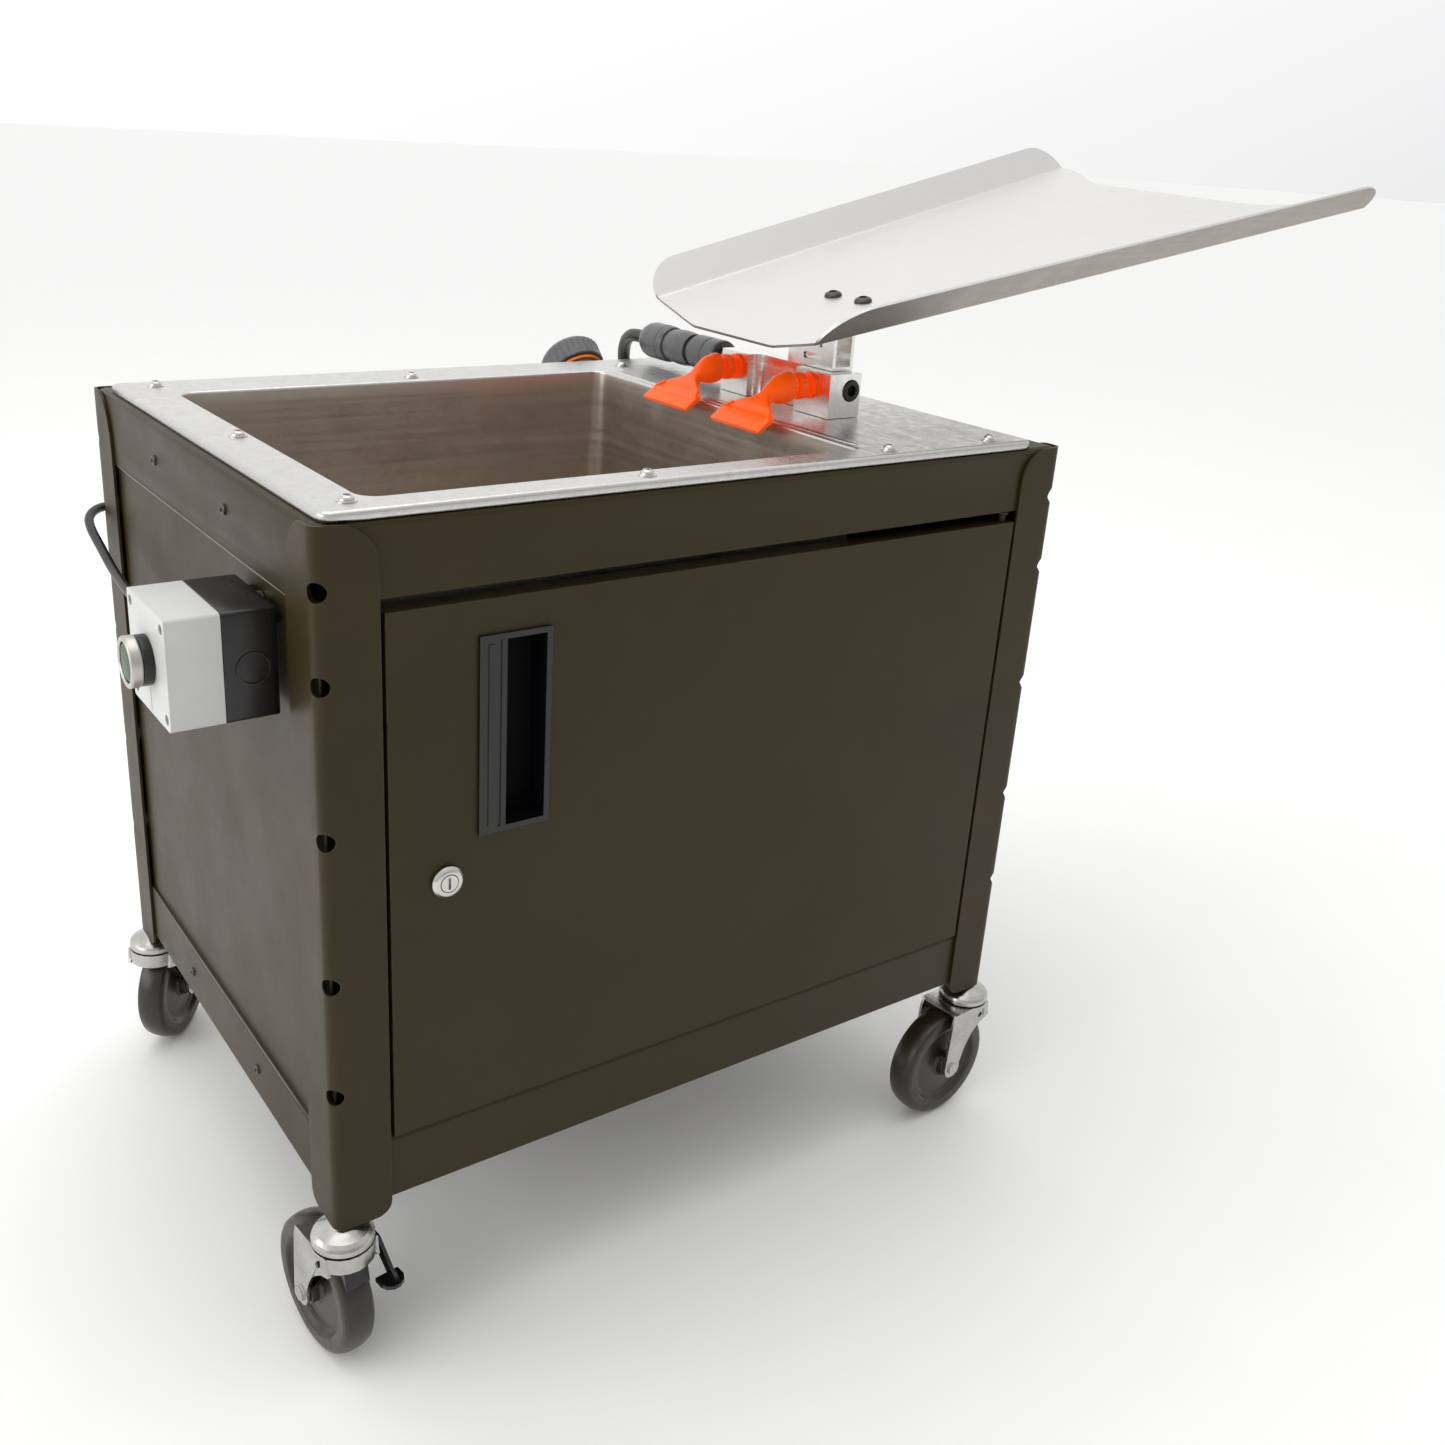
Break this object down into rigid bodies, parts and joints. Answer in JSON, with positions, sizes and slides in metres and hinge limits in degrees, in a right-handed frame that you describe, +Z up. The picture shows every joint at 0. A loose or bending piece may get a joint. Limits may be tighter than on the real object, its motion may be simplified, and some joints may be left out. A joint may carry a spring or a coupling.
{
  "type": "parts washer tank",
  "caption": "Wheeled black steel cabinet with a stainless wash tank, twin spray nozzles on a manifold, a feed chute, a push-button box and a lockable door.",
  "frame": {"origin": "bottom centre of the machine's bounding box, on the floor under it, cords left out", "axes": "+Z up, -Y towards the door, +X towards the raised end of the chute"},
  "size_m": [1.0676, 0.5316, 0.8244],
  "materials": {
    "black_powder_coat": "satin powder coat, finely textured",
    "stainless_steel": "brushed, satin",
    "aluminium_sheet": "fine brushed sheet",
    "machined_aluminium": "bright machined",
    "zinc_plate": "bright zinc plate",
    "wheel_rubber": "glossy hard rubber",
    "orange_acetal": "moulded, semi-gloss",
    "orange_seal": "moulded",
    "nickel_plate": "bright nickel",
    "brass": "turned",
    "grey_nylon": "moulded, matt",
    "black_plastic": "moulded, finely textured",
    "light_grey_plastic": "moulded ABS, satin",
    "green_lens": "moulded lens, glossy",
    "cable_jacket": "smooth jacket",
    "hose_rubber": "smooth hose",
    "natural_polyethylene": "rotomoulded, satin",
    "motor_paint": "gloss enamel"
  },
  "bodies": {
    "root": {"leg_front_left": "black_powder_coat", "caster_stem_front_left": "zinc_plate", "leg_front_right": "black_powder_coat", "caster_stem_front_right": "zinc_plate", "leg_back_left": "black_powder_coat", "caster_stem_back_left": "zinc_plate", "leg_back_right": "black_powder_coat", "caster_stem_back_right": "zinc_plate", "top_shelf": "black_powder_coat", "bottom_shelf": "black_powder_coat", "side_panel_left": "black_powder_coat", "side_panel_right": "black_powder_coat", "back_panel": "black_powder_coat", "hinge_pin_upper": "black_powder_coat", "hinge_pin_lower": "black_powder_coat", "tank": "stainless_steel", "drain_strainer": "stainless_steel", "manifold": "machined_aluminium", "manifold_plug": "black_plastic", "nozzle_front_base": "orange_acetal", "nozzle_rear_base": "orange_acetal", "inlet_fitting": "brass", "coupler_body": "grey_nylon", "chute": "aluminium_sheet", "chute_bracket": "machined_aluminium", "control_box_base": "black_plastic", "control_box_cover": "light_grey_plastic", "button_body": "black_plastic", "button_bezel": "nickel_plate", "cable_gland": "black_plastic", "fill_neck": "grey_nylon", "fill_seal": "orange_seal", "hose_elbow": "brass", "reservoir": "natural_polyethylene", "pump_head": "grey_nylon", "pump_motor": "motor_paint", "supply_hose": "hose_rubber", "control_cable": "cable_jacket", "wash_hose": "hose_rubber"},
    "door": {"door": "black_powder_coat", "door_handle": "black_plastic", "lock_body": "nickel_plate"},
    "lock": {"lock_cylinder": "nickel_plate"},
    "button": {"button_cap": "green_lens"},
    "collar": {"coupler_collar": "grey_nylon"},
    "cap": {"fill_cap": "grey_nylon"},
    "ring_front": {"nozzle_front_ring": "orange_acetal"},
    "tip_front": {"nozzle_front_tip": "orange_acetal"},
    "ring_rear": {"nozzle_rear_ring": "orange_acetal"},
    "tip_rear": {"nozzle_rear_tip": "orange_acetal"},
    "swivel_fl": {"caster_fork_front_left": "zinc_plate"},
    "wheel_fl": {"wheel_front_left": "wheel_rubber"},
    "swivel_fr": {"caster_fork_front_right": "zinc_plate"},
    "wheel_fr": {"wheel_front_right": "wheel_rubber"},
    "swivel_bl": {"caster_fork_back_left": "zinc_plate"},
    "wheel_bl": {"wheel_back_left": "wheel_rubber"},
    "swivel_br": {"caster_fork_back_right": "zinc_plate"},
    "wheel_br": {"wheel_back_right": "wheel_rubber"},
    "brake_fl": {"brake_lever_front_left": "black_powder_coat"},
    "brake_br": {"brake_lever_back_right": "black_powder_coat"}
  },
  "joints": [
    {"name": "door_hinge", "type": "hinge", "parent": "root", "child": "door", "pos_m": [0.10718, -0.23705, 0.369], "axis": [0, 0, 1], "range_deg": [0, 100]},
    {"name": "lock_turn", "type": "hinge", "parent": "door", "child": "lock", "pos_m": [-0.37082, -0.24435, 0.369], "axis": [0, 1, 0], "range_deg": [0, 90]},
    {"name": "button_press", "type": "slide", "parent": "root", "child": "button", "axis": [1, 0, 0], "range_m": [0, 0.004], "stiffness_N_per_m": 600},
    {"name": "nozzle_front_tilt", "type": "hinge", "parent": "root", "child": "ring_front", "pos_m": [0.00968, -0.09605, 0.639], "axis": [0, 1, 0], "range_deg": [-2, 12]},
    {"name": "nozzle_front_pan", "type": "hinge", "parent": "ring_front", "child": "tip_front", "pos_m": [-0.00232, -0.09605, 0.639], "axis": [0, 0, 1], "range_deg": [-12, 12]},
    {"name": "nozzle_rear_tilt", "type": "hinge", "parent": "root", "child": "ring_rear", "pos_m": [0.00968, -0.00005, 0.639], "axis": [0, 1, 0], "range_deg": [-2, 12]},
    {"name": "nozzle_rear_pan", "type": "hinge", "parent": "ring_rear", "child": "tip_rear", "pos_m": [-0.00232, -0.00005, 0.639], "axis": [0, 0, 1], "range_deg": [-12, 12]},
    {"name": "collar_release", "type": "slide", "parent": "root", "child": "collar", "axis": [0, -1, 0], "range_m": [0, 0.0035], "stiffness_N_per_m": 900},
    {"name": "cap_turn", "type": "hinge", "parent": "root", "child": "cap", "pos_m": [0.00318, 0.24195, 0.606], "axis": [0, 0.7772, 0.6292], "range_deg": [0, 90]},
    {"name": "swivel_fl_turn", "type": "hinge", "parent": "root", "child": "swivel_fl", "pos_m": [-0.44382, -0.23355, 0.1], "axis": [0, 0, 1], "continuous": true},
    {"name": "wheel_fl_roll", "type": "hinge", "parent": "swivel_fl", "child": "wheel_fl", "pos_m": [-0.44688, -0.20672, 0.0508], "axis": [-0.9936, -0.1132, 0], "continuous": true},
    {"name": "brake_fl_press", "type": "hinge", "parent": "swivel_fl", "child": "brake_fl", "pos_m": [-0.4436, -0.23554, 0.097], "axis": [0.9936, 0.1132, 0], "range_deg": [0, 8]},
    {"name": "swivel_fr_turn", "type": "hinge", "parent": "root", "child": "swivel_fr", "pos_m": [0.14818, -0.23355, 0.1], "axis": [0, 0, 1], "continuous": true},
    {"name": "wheel_fr_roll", "type": "hinge", "parent": "swivel_fr", "child": "wheel_fr", "pos_m": [0.12124, -0.23543, 0.0508], "axis": [0.0698, -0.9976, 0], "continuous": true},
    {"name": "swivel_bl_turn", "type": "hinge", "parent": "root", "child": "swivel_bl", "pos_m": [-0.44382, 0.20145, 0.1], "axis": [0, 0, 1], "continuous": true},
    {"name": "wheel_bl_roll", "type": "hinge", "parent": "swivel_bl", "child": "wheel_bl", "pos_m": [-0.42576, 0.22151, 0.0508], "axis": [-0.7431, 0.6691, 0], "continuous": true},
    {"name": "swivel_br_turn", "type": "hinge", "parent": "root", "child": "swivel_br", "pos_m": [0.14818, 0.20145, 0.1], "axis": [0, 0, 1], "continuous": true},
    {"name": "wheel_br_roll", "type": "hinge", "parent": "swivel_br", "child": "wheel_br", "pos_m": [0.17355, 0.21068, 0.0508], "axis": [-0.342, 0.9397, 0], "continuous": true},
    {"name": "brake_br_press", "type": "hinge", "parent": "swivel_br", "child": "brake_br", "pos_m": [0.1463, 0.20077, 0.097], "axis": [0.342, -0.9397, 0], "range_deg": [0, 8]}
  ]
}
